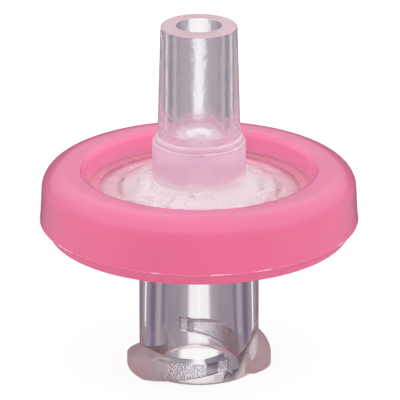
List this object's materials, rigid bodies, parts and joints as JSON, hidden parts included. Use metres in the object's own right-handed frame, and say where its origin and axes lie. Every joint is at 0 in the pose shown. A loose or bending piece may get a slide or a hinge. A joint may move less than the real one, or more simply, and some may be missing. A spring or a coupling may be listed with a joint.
{
  "type": "syringe filter",
  "caption": "Disposable syringe filter: clear disc housing clamped by a coloured moulded ring, with a male Luer slip outlet on top and a female Luer lock inlet with lugs below.",
  "frame": {"origin": "centre of the female Luer inlet's rim, on the plane that the filter stands on", "axes": "+Z along the flow axis from the inlet to the male Luer outlet; the lock lugs run out of the tube near -X and +X and end beyond -Y and +Y"},
  "size_m": [0.0168, 0.0168, 0.019],
  "materials": {
    "outlet_clear": "clear polished moulding, matt on the tip's end face",
    "inlet_clear": "clear polished moulding, frosted on the lugs' crests",
    "membrane": "matt white porous film",
    "ring": "satin pink moulding"
  },
  "bodies": {
    "root": {"outlet_housing": "outlet_clear", "filter_membrane": "membrane", "inlet_housing": "inlet_clear", "overmould_ring": "ring"}
  },
  "joints": []
}
